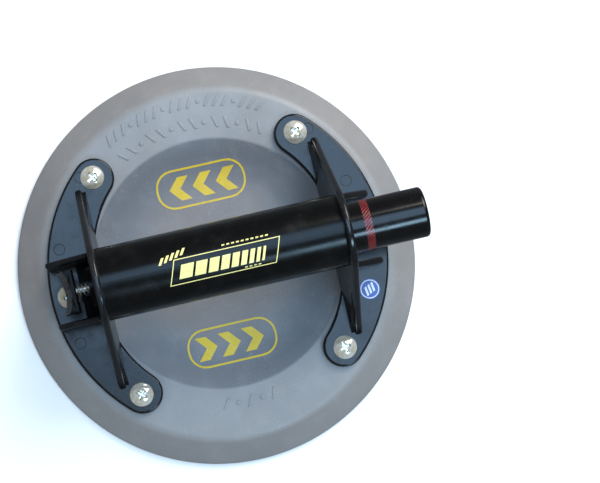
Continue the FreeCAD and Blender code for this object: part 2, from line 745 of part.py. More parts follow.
# ---------------------------------------------------------------- all pieces
pieces = {
    "pad_rubber": pad_rubber(),
    "pad_backing_plate": backing_plate(),
    "pad_inserts": Part.makeCompound([insert_at(x, y) for x, y in screw_places]),
    "suction_bush": suction_bush(),
    "port_filter": port_filter(),
    "port_seal": port_seal(),
    "suction_tube": suction_tube(),
    "bracket_valve_end": bracket_valve_end(),
    "bracket_plunger_end": bracket_plunger_end(),
    "bracket_screws": Part.makeCompound([bracket_screw(x, y) for x, y in screw_places]),
    "pump_barrel": pump_barrel(),
    "guide_bush": guide_bush(),
    "wiper_ring": wiper_ring(),
    "retaining_rings": Part.makeCompound([retaining_ring(1), retaining_ring(-1)]),
    "valve_body": valve_body(),
    "valve_body_oring": valve_oring(),
    "valve_plate": valve_plate(),
    "intake_valve": umbrella(-body_in, valve_plate_t),
    "release_stem": release_stem(),
    "release_seal": release_seal(),
    "release_clip": release_clip(),
    "release_paddle": release_paddle(),
    "release_spring": release_spring(),
    "plunger_tube": plunger_tube(),
    "indicator_band": indicator_band(),
    "piston_head": piston_head(),
    "piston_seal": piston_seal(),
    "exhaust_valve": umbrella(piston_end, piston_web),
    "return_spring": return_spring(),
    "info_sticker": info_sticker(),
}

os.makedirs("parts", exist_ok=True)
for name, shape in pieces.items():
    if not shape.isValid():
        print("not valid:", name)
    shape.exportStep("parts/" + name + ".step")
    size = shape.BoundBox
    print(f"{name:22s} {len(shape.Solids)} solids {shape.Volume:10.1f} mm3 "
          f"x {size.XMin:.1f}..{size.XMax:.1f} z {size.ZMin:.1f}..{size.ZMax:.1f}")
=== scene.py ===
# %% [markdown]
# # Vacuum suction cup
# A hand-held suction cup for carrying glass: a grey rubber pad, a black handle that bridges it, and a
# pump inside the handle. The CAD model brings every hard piece at its real size. This script gives each
# piece its finish and makes what needs mesh work: the rubber pad, the raised and printed marks, the
# screws, the paddle's soft edges, and copies of the two springs.

import json
import math

import bmesh
import bpy
from mathutils import Matrix, Vector
from mathutils.bvhtree import BVHTree

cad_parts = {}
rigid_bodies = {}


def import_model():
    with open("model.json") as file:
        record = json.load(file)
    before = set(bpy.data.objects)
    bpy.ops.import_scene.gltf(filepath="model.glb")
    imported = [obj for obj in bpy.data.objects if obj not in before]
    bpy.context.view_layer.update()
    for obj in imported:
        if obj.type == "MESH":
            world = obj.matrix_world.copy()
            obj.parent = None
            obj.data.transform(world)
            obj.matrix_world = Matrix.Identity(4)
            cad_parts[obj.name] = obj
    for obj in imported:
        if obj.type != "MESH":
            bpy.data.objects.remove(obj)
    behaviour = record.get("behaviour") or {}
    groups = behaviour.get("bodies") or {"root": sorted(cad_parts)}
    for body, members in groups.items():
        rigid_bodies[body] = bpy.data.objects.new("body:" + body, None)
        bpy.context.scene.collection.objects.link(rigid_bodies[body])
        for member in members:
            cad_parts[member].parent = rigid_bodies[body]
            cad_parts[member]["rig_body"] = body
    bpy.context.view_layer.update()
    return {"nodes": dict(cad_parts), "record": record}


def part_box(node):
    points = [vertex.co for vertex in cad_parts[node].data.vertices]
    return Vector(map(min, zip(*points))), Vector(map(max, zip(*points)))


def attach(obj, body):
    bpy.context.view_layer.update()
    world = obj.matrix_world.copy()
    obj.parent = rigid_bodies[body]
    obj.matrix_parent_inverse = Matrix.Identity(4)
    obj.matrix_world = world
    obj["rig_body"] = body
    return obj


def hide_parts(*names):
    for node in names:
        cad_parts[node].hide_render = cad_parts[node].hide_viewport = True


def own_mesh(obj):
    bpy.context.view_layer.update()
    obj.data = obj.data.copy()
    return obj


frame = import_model()
nodes = frame["nodes"]

# %% [markdown]
# Sizes are written in millimetres, as on a workshop drawing, and Blender works in metres, so one factor
# changes them. Heights and radii that the CAD already has are read from its boxes.

# %% Sizes from the frame
MM = 0.001
pad_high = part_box("pad_rubber")[1]
barrel_low, barrel_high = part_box("pump_barrel")
pad_radius = pad_high.y / MM
pad_top = pad_high.z / MM
axis_height = (barrel_low.z + barrel_high.z) / 2 / MM
barrel_radius = (barrel_high.z - barrel_low.z) / 2 / MM
foot_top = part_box("info_sticker")[0].z / MM
print("pad radius", round(pad_radius, 2), "mm, barrel axis", round(axis_height, 2), "mm above the glass")
print("barrel radius", round(barrel_radius, 2), "mm, feet", round(foot_top, 2), "mm above the glass")

# %% [markdown]
# ## Camera
# The cup lies on a table and is seen from almost straight above, from far enough away that its rim stays
# nearly round. A long lens does that. The barrel runs up to the right, which is a roll of the camera.

# %% Camera
scene = bpy.context.scene
camera_data = bpy.data.cameras.new("camera")
camera_data.lens = 126.24
camera_data.sensor_width = 36.0
camera_data.clip_end = 20.0
camera = bpy.data.objects.new("camera", camera_data)
camera.location = Vector((-44.2, -45.2, 1077.2)) * MM
camera.rotation_euler = [math.radians(a) for a in (3.5, -3.99, -13.08)]
scene.collection.objects.link(camera)
scene.camera = camera
print("camera", round(camera.location.z, 3), "m above the table, with a lens of", camera_data.lens, "mm")

# %% [markdown]
# ## Light
# Black plastic shows only what it mirrors, so the lamps are soft boxes with clear edges. A blue panel
# overhead is what the flat feet mirror, and it draws a line along the barrel's crown. A second panel, low
# on the near side and off to the right, draws the brighter line along the plunger. A cylinder only mirrors
# what stands across from it, so the lamp that lights the rubber stands far out beyond the barrel's end,
# where no cylinder shows it. The slopes that face away from it are darker, which gives the pad its form.

# %% Soft boxes
def soft_box(name, place, size, power, colour):
    """An area lamp at place, in metres, that faces the cup."""
    data = bpy.data.lights.new(name, "AREA")
    data.shape = "RECTANGLE"
    data.size, data.size_y = size
    data.energy = power
    data.color = colour
    lamp = bpy.data.objects.new(name, data)
    lamp.location = place
    lamp.rotation_euler = Vector(place).to_track_quat("Z", "Y").to_euler()
    scene.collection.objects.link(lamp)


soft_box("overhead", (0.20, 0.19, 1.9), (1.2, 0.78), 15.5, (0.42, 0.68, 1.0))
soft_box("near_panel", (0.36, -0.9, 1.2), (0.42, 0.34), 9.0, (0.46, 0.76, 1.0))
soft_box("main", (1.1, 1.1, 1.3), (1.3, 1.3), 42.0, (1.0, 0.965, 0.92))

# %% [markdown]
# The room itself is pale for diffuse light and dim in mirror reflections, as if the walls stood far off.

# %% Room
world = bpy.data.worlds.new("studio")
scene.world = world
world.use_nodes = True
room = world.node_tree
room_light = room.nodes["Background"]
room_light.inputs["Color"].default_value = (0.97, 0.985, 1.0, 1.0)
ray = room.nodes.new("ShaderNodeLightPath")
dim = room.nodes.new("ShaderNodeMapRange")
dim.inputs["To Min"].default_value = 0.60
dim.inputs["To Max"].default_value = 0.20
room.links.new(ray.outputs["Is Glossy Ray"], dim.inputs["Value"])
room.links.new(dim.outputs["Result"], room_light.inputs["Strength"])
scene.view_settings.view_transform = "Standard"
print("room: strength", round(dim.inputs["To Min"].default_value, 2), "for diffuse light,",
      round(dim.inputs["To Max"].default_value, 2), "in reflections")

# %% [markdown]
# ## Tools for finishes
# A finish is a tree of shader nodes. `add` puts one node in a tree, sets it, and links what it is given.
# An effect that several finishes share is a group, built once: grain, handling marks, edge wear and dust.

# %% Node helpers
def add(tree, kind, inputs=None, **settings):
    """A node of that kind, with its settings made and each input given a value or a link."""
    n = tree.nodes.new("ShaderNode" + kind)
    for key, value in settings.items():
        setattr(n, key, value)
    for key, value in (inputs or {}).items():
        if isinstance(value, bpy.types.NodeSocket):
            tree.links.new(value, n.inputs[key])
        else:
            n.inputs[key].default_value = value
    return n


def mixed(tree, factor, a, b):
    """Colour a turning into colour b by a factor."""
    return add(tree, "Mix", {0: factor, 6: a, 7: b}, data_type="RGBA").outputs[2]


def calc(tree, operation, a, b=0.0):
    """Arithmetic on one or two values."""
    return add(tree, "Math", {0: a, 1: b}, operation=operation).outputs[0]


def spread(tree, value, low, high, to_low=0.0, to_high=1.0):
    """A value's range low to high, smoothly mapped to another range."""
    return add(tree, "MapRange", {"Value": value, "From Min": low, "From Max": high, "To Min": to_low,
                                  "To Max": to_high}, interpolation_type="SMOOTHSTEP").outputs[0]


def noise(tree, place, size_mm, detail=3.0, rough=0.55):
    """Cloudy noise with features about that many millimetres across."""
    return add(tree, "TexNoise", {"Vector": place, "Scale": 1000.0 / size_mm, "Detail": detail,
                                  "Roughness": rough}).outputs["Fac"]


def new_group(name, inputs, output):
    """An empty node group with number inputs and one number output."""
    tree = bpy.data.node_groups.new(name, "ShaderNodeTree")
    for label, value in inputs.items():
        tree.interface.new_socket(label, in_out="INPUT", socket_type="NodeSocketFloat").default_value = value
    tree.interface.new_socket(output, in_out="OUTPUT", socket_type="NodeSocketFloat")
    return tree, tree.nodes.new("NodeGroupInput").outputs, tree.nodes.new("NodeGroupOutput").inputs


def use(tree, group, **inputs):
    """Places a group in a finish and gives its output."""
    n = tree.nodes.new("ShaderNodeGroup")
    n.node_tree = group
    for key, value in inputs.items():
        n.inputs[key].default_value = value
    return n.outputs[0]


# %% [markdown]
# **Grain.** A mould's surface is never quite smooth: a fine spark-eroded texture and a slow waviness.
# Two sizes of noise make a height, which a Bump node turns into a normal.

# %% Moulded grain
grain, given, out = new_group("moulded grain", {"Size": 1.0, "Wave": 0.5}, "Height")
place = add(grain, "TexCoord").outputs["Object"]
fine = add(grain, "TexNoise", {"Vector": place, "Scale": calc(grain, "DIVIDE", 1000.0, given["Size"]),
                               "Detail": 4.0, "Roughness": 0.6}).outputs["Fac"]
slow = noise(grain, place, 14.0, 1.0)
grain.links.new(calc(grain, "ADD", fine, calc(grain, "MULTIPLY", slow, given["Wave"])), out["Height"])

# %% [markdown]
# **Handling marks.** Hands and glass leave smears and hair-line scratches. Stretched noise, cut off near
# its peak, gives scratches in two directions, and soft noise gives the smears.

# %% Handling marks
handling, given, out = new_group("handling marks", {"Amount": 0.5, "Smear": 0.5}, "Mask")
place = add(handling, "TexCoord").outputs["Object"]
lines = None
for turn, squeeze in ((0.5, (3000, 90, 400)), (2.2, (2400, 110, 300)), (-0.9, (2800, 70, 500))):
    turned = add(handling, "Mapping", {"Vector": place, "Rotation": (0, 0, turn), "Scale": squeeze})
    streak = add(handling, "TexNoise", {"Vector": turned.outputs[0], "Scale": 1.0, "Detail": 2.0})
    streak = spread(handling, streak.outputs["Fac"], 0.66, 0.74)
    lines = streak if lines is None else calc(handling, "MAXIMUM", lines, streak)
patch = spread(handling, noise(handling, place, 26.0, 3.0), 0.42, 0.66)
lines = calc(handling, "MULTIPLY", calc(handling, "MULTIPLY", lines, patch), given["Amount"])
smear = spread(handling, noise(handling, place, 9.0, 4.0), 0.45, 0.75)
smear = calc(handling, "MULTIPLY", smear, given["Smear"])
handling.links.new(calc(handling, "MAXIMUM", lines, smear), out["Mask"])

# %% [markdown]
# **Edge wear.** The Bevel node gives the normal that a slightly rounder corner would have. Where it
# differs from the true normal there is an edge, and that is where paint and gloss rub off first.

# %% Edge wear
wear, given, out = new_group("edge wear", {"Radius": 0.0005, "Amount": 0.5}, "Mask")
soft = add(wear, "Bevel", {"Radius": given["Radius"]}, samples=4).outputs[0]
true = add(wear, "NewGeometry").outputs["True Normal"]
along = add(wear, "VectorMath", {0: soft, 1: true}, operation="DOT_PRODUCT").outputs["Value"]
place = add(wear, "TexCoord").outputs["Object"]
edge = spread(wear, along, 0.98, 0.80)
broken = spread(wear, noise(wear, place, 2.5, 4.0), 0.35, 0.65)
wear.links.new(calc(wear, "MULTIPLY", calc(wear, "MULTIPLY", edge, broken), given["Amount"]), out["Mask"])

# %% [markdown]
# **Dust.** Dust settles on what faces up, as fine specks inside soft patches.

# %% Dust
dust, given, out = new_group("dust", {"Amount": 0.3}, "Mask")
up = add(dust, "SeparateXYZ", {0: add(dust, "NewGeometry").outputs["Normal"]}).outputs["Z"]
place = add(dust, "TexCoord").outputs["Object"]
specks = spread(dust, noise(dust, place, 0.7, 2.0), 0.60, 0.72)
patches = spread(dust, noise(dust, place, 18.0, 3.0), 0.38, 0.70, 0.15, 1.0)
facing = spread(dust, up, 0.3, 0.95)
dust.links.new(calc(dust, "MULTIPLY", calc(dust, "MULTIPLY", specks, patches),
                    calc(dust, "MULTIPLY", facing, given["Amount"])), out["Mask"])
print("groups:", [g.name for g in bpy.data.node_groups])

# %% [markdown]
# Every finish starts from an empty shader, takes its colours as a screen shows them, and ends with a bump.


# %% A new finish
def new_finish(name, rough, metal=0.0, **constants):
    """An empty finish: its tree, its shader and its object coordinates."""
    finish = bpy.data.materials.new(name)
    finish.use_nodes = True
    tree = finish.node_tree
    shader = tree.nodes["Principled BSDF"]
    shader.inputs["Roughness"].default_value = rough
    shader.inputs["Metallic"].default_value = metal
    for key, value in constants.items():
        shader.inputs[key.replace("_", " ")].default_value = value
    return finish, tree, shader, add(tree, "TexCoord").outputs["Object"]


def rgb(r, g, b):
    """A colour as seen on a screen, 0 to 255, made linear for the shader."""
    return tuple(((c / 255 + 0.055) / 1.055) ** 2.4 if c > 10 else c / 255 / 12.92
                 for c in (r, g, b)) + (1.0,)


def bump(tree, shader, height, strength, distance_mm):
    """Lets a height tilt the shader's normal."""
    n = add(tree, "Bump", {"Height": height, "Strength": strength, "Distance": distance_mm * MM})
    tree.links.new(n.outputs[0], shader.inputs["Normal"])


# %% [markdown]
# ## Rubber
# The pad is cast rubber, a flat mid grey with a slight bloom: a chalky cast that comes to its surface.
# The bloom is rubbed off the sloped rim, stays on the flat shoulder, and never forms in the dish's wall,
# which stays darker and bluer. The distance from the pad's centre picks between these tones.

# %% Rubber finish
rubber, tree, shader, place = new_finish("pad_rubber", 0.5)
flat_place = add(tree, "VectorMath", {0: place, 1: (1.0, 1.0, 0.0)}, operation="MULTIPLY").outputs[0]
reach = add(tree, "VectorMath", {0: flat_place}, operation="LENGTH").outputs["Value"]
reach = calc(tree, "MULTIPLY", reach, 1000.0)
clouds = noise(tree, place, 30.0, 4.0)
# Painted shade and sheen: the dish's wall darker and bluer, the shoulder lighter, the rim a little darker.
tone = mixed(tree, spread(tree, reach, 30.0, 52.0), rgb(124, 121, 121), rgb(102, 108, 115))
tone = mixed(tree, spread(tree, reach, 62.6, 64.2), tone, rgb(132, 134, 136))
tone = mixed(tree, spread(tree, reach, 87.0, 92.0), tone, rgb(128, 126, 125))
tone = mixed(tree, spread(tree, clouds, 0.35, 0.70, 0.0, 0.22), tone, rgb(96, 98, 100))
specks = spread(tree, noise(tree, place, 0.9, 2.0), 0.64, 0.74, 0.0, 0.35)
tone = mixed(tree, specks, tone, rgb(90, 92, 95))
tone = mixed(tree, use(tree, dust, Amount=0.35), tone, rgb(186, 184, 178))
tree.links.new(mixed(tree, use(tree, handling, Amount=0.16, Smear=0.10), tone, rgb(160, 160, 158)),
               shader.inputs["Base Color"])
tree.links.new(spread(tree, noise(tree, place, 12.0, 3.0), 0.3, 0.7, 0.40, 0.52), shader.inputs["Roughness"])
bump(tree, shader, use(tree, grain, Size=0.55, Wave=1.5), 0.25, 0.06)
print("rubber:", len(tree.nodes), "shader nodes")

# %% [markdown]
# ## Black plastics
# The brackets are moulded in glossy black with a breath of blue, the barrel is painted a little softer,
# and the plunger is polished by the hand. The thumb paddle and the valve's body behind it mirror almost
# nothing, so their finish has a low index of refraction. One recipe serves them all: near-black, a gloss
# that the smears break up, lighter worn edges, and dust.

# %% Black finishes
def black_finish(name, colour, gloss, ior, worn, dusty, scratched, orange_peel):
    """Black plastic or paint. Gloss is the roughness where it is clean and where it is smeared."""
    finish, tree, shader, place = new_finish(name, gloss[0], IOR=ior)
    tone = mixed(tree, use(tree, wear, Radius=0.0006, Amount=worn), colour, rgb(72, 70, 66))
    tone = mixed(tree, use(tree, dust, Amount=dusty), tone, rgb(120, 118, 112))
    marks = use(tree, handling, Amount=scratched, Smear=0.35)
    tree.links.new(mixed(tree, calc(tree, "MULTIPLY", marks, 0.05), tone, rgb(110, 112, 116)),
                   shader.inputs["Base Color"])
    clouds = spread(tree, noise(tree, place, 8.0, 3.0), 0.3, 0.7, 0.0, 0.35)
    shift = calc(tree, "MINIMUM", calc(tree, "ADD", marks, clouds), 1.0)
    tree.links.new(spread(tree, shift, 0.0, 1.0, gloss[0], gloss[1]), shader.inputs["Roughness"])
    bump(tree, shader, use(tree, grain, Size=orange_peel, Wave=2.5), 0.12, 0.05)
    return finish


bracket_black = black_finish("black_abs", rgb(15, 17, 20), (0.15, 0.34), 1.42, 0.35, 0.22, 0.6, 0.8)
barrel_black = black_finish("black_barrel", rgb(6, 7, 7), (0.20, 0.34), 1.30, 0.3, 0.05, 0.5, 0.6)
plunger_black = black_finish("plunger_black", rgb(7, 7, 8), (0.15, 0.28), 1.38, 0.4, 0.06, 0.7, 0.7)
paddle_black = black_finish("paddle_black", rgb(6, 6, 7), (0.24, 0.36), 1.17, 0.0, 0.05, 0.4, 0.8)
valve_rubber = black_finish("seal_rubber", rgb(24, 24, 25), (0.45, 0.60), 1.50, 0.2, 0.30, 0.3, 0.5)
print("blacks:", [m.name for m in (bracket_black, barrel_black, plunger_black, paddle_black, valve_rubber)])

# %% [markdown]
# The hollow between the cheeks at the valve's end is never wiped, so the bracket is dull there. A box in
# object coordinates, soft at its sides, raises the roughness.

# %% Grime in the valve's hollow
tree = bracket_black.node_tree
shader = next(n for n in tree.nodes if n.type == "BSDF_PRINCIPLED")
parts = add(tree, "SeparateXYZ", {0: add(tree, "TexCoord").outputs["Object"]})
behind = spread(tree, parts.outputs["X"], -0.0600, -0.0620)
between = spread(tree, calc(tree, "ABSOLUTE", parts.outputs["Y"], 0.0), 0.0142, 0.0134)
raised = spread(tree, parts.outputs["Z"], 0.022, 0.024)
hollow = calc(tree, "MULTIPLY", calc(tree, "MULTIPLY", behind, between), raised)
glossy = shader.inputs["Roughness"].links[0].from_socket
tree.links.new(calc(tree, "MAXIMUM", glossy, hollow), shader.inputs["Roughness"])
print("the hollow's grime is in", bracket_black.name)

# %% [markdown]
# ## Metals
# The screws are bright zinc on steel, with fine turning lines and a trace of yellow passivation; their
# edges and the rims of their recess are darkened, a painted shade. Springs and clips are oiled spring
# steel. The plate in the pad and the brass fittings are plain, and their edges are rubbed bright.

# %% Metal finishes
def metal_finish(name, bright, dull, gloss, line_mm, metal=1.0, edge=rgb(225, 226, 228), amount=0.6):
    """Metal with stains from bright to dull, turning lines, and edges of their own colour."""
    finish, tree, shader, place = new_finish(name, gloss[0], metal=metal)
    stain = spread(tree, noise(tree, place, 2.2, 3.0), 0.40, 0.66)
    drawn = add(tree, "Mapping", {"Vector": place, "Scale": (1.0, 1.0, 0.2)}).outputs[0]
    lines = add(tree, "TexNoise", {"Vector": drawn, "Scale": 1000.0 / line_mm, "Detail": 5.0})
    tone = mixed(tree, stain, bright, dull)
    tone = mixed(tree, use(tree, wear, Radius=0.0004, Amount=amount), tone, edge)
    tree.links.new(tone, shader.inputs["Base Color"])
    marks = use(tree, handling, Amount=0.8, Smear=0.5)
    tree.links.new(spread(tree, marks, 0.0, 1.0, gloss[0], gloss[1]), shader.inputs["Roughness"])
    bump(tree, shader, lines.outputs["Fac"], 0.18, 0.04)
    return finish


# The screws' dark edge colour, rgb(34, 36, 40), is painted shade along the recess and the head's edges.
zinc = metal_finish("screw_steel", rgb(232, 232, 226), rgb(214, 208, 176), (0.13, 0.24), 0.5, metal=0.62,
                    edge=rgb(34, 36, 40), amount=2.5)
spring_wire = metal_finish("spring_steel", rgb(176, 172, 162), rgb(124, 120, 110), (0.20, 0.34), 0.3,
                           metal=0.6)
plate_steel = metal_finish("steel_plate", rgb(176, 178, 182), rgb(150, 148, 142), (0.26, 0.42), 0.7)
brass = metal_finish("brass", rgb(204, 170, 96), rgb(168, 134, 70), (0.22, 0.38), 0.5)
print("metals:", [m.name for m in (zinc, spring_wire, plate_steel, brass)])

# %% [markdown]
# ## Small finishes
# The band that shows how much vacuum is left is red, with a fine slanted thread in it. Its pattern follows
# the plunger, so it is laid out in length and angle.

# %% Red band
PLUNGER_R = 12.35
THREAD_LEAN = -1.1
THREAD_PHASE = 3.3     # radians per millimetre
band_red, tree, shader, place = new_finish("red_band", 0.24)
centred = add(tree, "Mapping", {"Vector": place, "Location": (0.0, 0.0, -axis_height * MM)}).outputs[0]
parts = add(tree, "SeparateXYZ", {0: centred})
angle = calc(tree, "ARCTAN2", parts.outputs["Y"], parts.outputs["Z"])
around = calc(tree, "MULTIPLY", angle, PLUNGER_R)
along = calc(tree, "MULTIPLY", parts.outputs["X"], 1000.0)
across = calc(tree, "ADD", along, calc(tree, "MULTIPLY", around, THREAD_LEAN))
thread = calc(tree, "SINE", calc(tree, "MULTIPLY", across, THREAD_PHASE))
thread = spread(tree, thread, 0.0, 0.9)
tone = mixed(tree, thread, rgb(54, 6, 14), rgb(164, 56, 50))
tone = mixed(tree, spread(tree, noise(tree, place, 3.0, 4.0), 0.42, 0.62, 0.0, 0.6), tone, rgb(70, 14, 20))
tree.links.new(mixed(tree, use(tree, wear, Radius=0.0004, Amount=0.5), tone, rgb(40, 14, 16)),
               shader.inputs["Base Color"])
bump(tree, shader, thread, 0.35, 0.08)
print("red band:", round(math.tau / THREAD_PHASE, 2), "mm from thread to thread")

# %% [markdown]
# White acetal, filter felt, the sticker's paper and the inks are all a colour with thin or worn spots, so
# they share a recipe.


# %% Plain and printed finishes
def printed_finish(name, colour, thin, rough, grain_mm):
    """Ink, plastic or paper: a colour with thin spots, and a grain."""
    finish, tree, shader, place = new_finish(name, rough)
    tone = mixed(tree, spread(tree, noise(tree, place, 1.1, 5.0), 0.52, 0.74, 0.0, 0.55), colour, thin)
    tone = mixed(tree, spread(tree, noise(tree, place, 11.0, 3.0), 0.45, 0.75, 0.0, 0.25), tone, thin)
    tree.links.new(mixed(tree, use(tree, dust, Amount=0.25), tone, rgb(190, 186, 170)),
                   shader.inputs["Base Color"])
    tree.links.new(spread(tree, noise(tree, place, 3.0, 3.0), 0.3, 0.7, rough * 0.85, rough * 1.2),
                   shader.inputs["Roughness"])
    bump(tree, shader, use(tree, grain, Size=grain_mm, Wave=0.5), 0.2, 0.04)
    return finish


yellow_ink = printed_finish("yellow_ink", rgb(206, 180, 30), rgb(160, 146, 70), 0.45, 0.5)
cream_ink = printed_finish("cream_ink", rgb(232, 222, 140), rgb(176, 168, 104), 0.40, 0.4)
white_ink = printed_finish("white_ink", rgb(226, 230, 236), rgb(176, 190, 214), 0.35, 0.4)
sticker_blue = printed_finish("sticker", rgb(40, 78, 160), rgb(60, 100, 178), 0.30, 0.5)
acetal = printed_finish("white_acetal", rgb(222, 220, 212), rgb(196, 193, 184), 0.38, 0.9)
felt = printed_finish("felt", rgb(186, 180, 166), rgb(128, 122, 110), 0.95, 0.25)
print("plain and printed:", [m.name for m in (yellow_ink, cream_ink, white_ink, sticker_blue, acetal, felt)])

# %% [markdown]
# The record gives each CAD node a material slot, and the slot picks the finish. The plunger and the
# pieces at the valve's end share a slot with others, so they are given theirs by name.

# %% Give every CAD node its finish
finish_for = {
    "pad_rubber": rubber, "steel_plate": plate_steel, "brass": brass, "black_abs": bracket_black,
    "black_barrel": barrel_black, "screw_steel": zinc, "spring_steel": spring_wire, "red_band": band_red,
    "white_acetal": acetal, "seal_rubber": valve_rubber, "felt": felt, "sticker": sticker_blue}
for row in frame["record"]["subparts"]:
    mesh = nodes[row["node"]].data
    mesh.materials.clear()
    mesh.materials.append(finish_for[row["material_slot"]])
nodes["plunger_tube"].data.materials[0] = plunger_black
for name in ("release_paddle", "valve_body"):
    nodes[name].data.materials[0] = paddle_black
print(len(nodes), "CAD nodes have a finish")


# %% [markdown]
# ## Tools for pieces
# A piece is built in a bmesh and then wrapped in an object that rides on one of the CAD bodies.

# %% Piece helpers
def new_piece(name, bm, finish, body="cup", sharp=35):
    """Turns a finished bmesh into an object that moves with a body."""
    mesh = bpy.data.meshes.new(name)
    bm.to_mesh(mesh)
    bm.free()
    piece = bpy.data.objects.new(name, mesh)
    scene.collection.objects.link(piece)
    mesh.materials.append(finish)
    mesh.shade_smooth()
    mesh.set_sharp_from_angle(angle=math.radians(sharp))
    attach(piece, body)
    print(name, len(mesh.vertices), "points")
    return piece


def round_edges(bm, edges, width_mm, segments):
    """Rounds edges by a bevel."""
    bmesh.ops.bevel(bm, geom=edges, offset=width_mm * MM, offset_type="OFFSET", segments=segments,
                    profile=0.5, affect="EDGES", material=-1, clamp_overlap=True)


# %% [markdown]
# ## Rubber pad
# The real pad is cast in one piece, round about its centre: a dish in the middle, a flat shoulder that the
# handle's feet stand on, and a thin sloping lip. Underneath are raised rings that keep the air way open
# and the ring that meets the glass. A lathe shape is a profile and a spin. The profile has only its
# corners, and each ring of edges is then rounded by its own amount.

# %% Pad profile and spin
UNDER = 3.4
RAISED_RINGS = (77.2, 51.2, 30.0)
RING_HALF, RING_DEEP = 1.2, 1.5
profile = [(0, 10.4), (40, 10.4), (50.6, 11.4), (63.5, pad_top), (89, pad_top), (pad_radius, 3.2),
           (pad_radius, 0.6), (101.0, 0), (98.6, 0), (89.6, UNDER)]
for ring in RAISED_RINGS:
    outer, inner = ring + RING_HALF, ring - RING_HALF
    profile += [(outer, UNDER), (outer, UNDER - RING_DEEP), (inner, UNDER - RING_DEEP), (inner, UNDER)]
profile.append((0, UNDER))
pad = bmesh.new()
corners = [pad.verts.new((r * MM, 0, z * MM)) for r, z in profile]
outline = [pad.edges.new(pair) for pair in zip(corners, corners[1:])]
bmesh.ops.spin(pad, geom=corners + outline, cent=(0, 0, 0), axis=(0, 0, 1), angle=math.tau, steps=192,
               use_merge=True)
bmesh.ops.remove_doubles(pad, verts=pad.verts, dist=1e-7)
bmesh.ops.recalc_face_normals(pad, faces=pad.faces)
print("profile of", len(profile), "corners,", len(pad.faces), "faces after the spin")

# %% [markdown]
# Each row below names one ring by its radius and height, then how wide its rounding is and in how many
# steps. The rings underneath are rounded at their tops and where they meet the hollow.


# %% Round each ring of edges
def ring_at(bm, r, z):
    """The circle of edges at that radius and height."""
    def here(v):
        return abs(v.co.xy.length / MM - r) < 0.02 and abs(v.co.z / MM - z) < 0.02
    return [e for e in bm.edges if all(here(v) for v in e.verts)]


for r, z, width, segments in ((50.6, 11.4, 6.0, 6), (40, 10.4, 4.0, 4), (63.5, pad_top, 0.9, 4),
                              (89, pad_top, 2.6, 6), (pad_radius, 3.2, 1.3, 4), (pad_radius, 0.6, 0.25, 2),
                              (101.0, 0, 0.25, 2), (98.6, 0, 1.0, 3), (89.6, UNDER, 2.0, 3)):
    round_edges(pad, ring_at(pad, r, z), width, segments)
for ring in RAISED_RINGS:
    for side in (RING_HALF, -RING_HALF):
        round_edges(pad, ring_at(pad, ring + side, UNDER - RING_DEEP), 0.5, 3)
        round_edges(pad, ring_at(pad, ring + side, UNDER), 0.4, 2)
pad_surface = BVHTree.FromBMesh(pad)
print("pad faces", len(pad.faces))

# %% [markdown]
# The air port opens on the underside, where a felt filter sits in a shallow recess. A Boolean cuts it
# with a disc a little larger than the filter, and the result is applied.

# %% Port recess
filter_low, filter_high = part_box("port_filter")
port_r = (filter_high.x - filter_low.x) / 2 + 0.05 * MM
port_x = (filter_low.x + filter_high.x) / 2
recess = Matrix.Translation((port_x, 0, filter_high.z - 2 * MM))
cutter = bmesh.new()
bmesh.ops.create_cone(cutter, cap_ends=True, segments=64, radius1=port_r, radius2=port_r, depth=4 * MM,
                      matrix=recess)


def carve(bm, cutter):
    """bm with the cutter's shape taken out of it. Uses up both."""
    objects = []
    for source in (bm, cutter):
        mesh = bpy.data.meshes.new("carving")
        source.to_mesh(mesh)
        source.free()
        objects.append(bpy.data.objects.new("carving", mesh))
        scene.collection.objects.link(objects[-1])
    knife = objects[0].modifiers.new("knife", "BOOLEAN")
    knife.operation, knife.solver, knife.object = "DIFFERENCE", "EXACT", objects[1]
    result = bmesh.new()
    result.from_object(objects[0], bpy.context.evaluated_depsgraph_get())
    for o in objects:
        bpy.data.objects.remove(o)
    return result


pad = carve(pad, cutter)
pad_piece = new_piece("cast_pad", pad, rubber, sharp=50)
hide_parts("pad_rubber")

# %% [markdown]
# ## Raised marks
# Moulded-in marks stand a third of a millimetre proud of the shoulder: two curved rows above and a short
# row below. They are plain slanted bars and studs, sunk a little into the rubber so that no gap shows.

# %% Marks around the pad
marks = bmesh.new()


def raised_mark(bm, r, degrees, kind):
    """A slanted bar or a round stud on the shoulder. Gives the edges round its top."""
    turn = Matrix.Rotation(math.radians(degrees - 90), 4, "Z")
    at = turn @ Matrix.Translation((0, r * MM, (pad_top + 0.02) * MM))
    if kind == "o":
        made = bmesh.ops.create_cone(bm, cap_ends=True, segments=20, radius1=1.15 * MM, radius2=1.15 * MM,
                                     depth=0.66 * MM, matrix=at)
    else:
        lean = Matrix.Identity(4)
        lean[0][1] = {"/": 0.45, "\\": -0.45, "|": 0.0}[kind]
        made = bmesh.ops.create_cube(bm, size=MM, matrix=at @ lean @ Matrix.Diagonal((1.5, 5.6, 0.66, 1)))
    top = max(v.co.z for v in made["verts"])
    return [e for e in {e for v in made["verts"] for e in v.link_edges}
            if min(v.co.z for v in e.verts) > top - 1e-6]


rims = []
for r, first, last, row in ((82.8, 62.5, 119.0, "///o///o///o///o///"),
                            (71.8, 60.5, 119.0, "\\\\o\\\\o\\\\o\\\\o\\\\"),
                            (71.0, -99.5, -80.0, "/o/o/")):
    step = (last - first) / (len(row) - 1)
    for i, kind in enumerate(row):
        rims += raised_mark(marks, r, first + i * step, kind)
round_edges(marks, rims, 0.24, 3)
new_piece("raised_marks", marks, rubber, sharp=60)


# %% [markdown]
# ## Prints
# A print is a film of ink with no thickness to speak of, but it needs one to be a solid: 0.05 mm here. It
# is drawn flat from bars and frames, cut into small cells so that it can bend, laid on its surface, and
# then thickened.

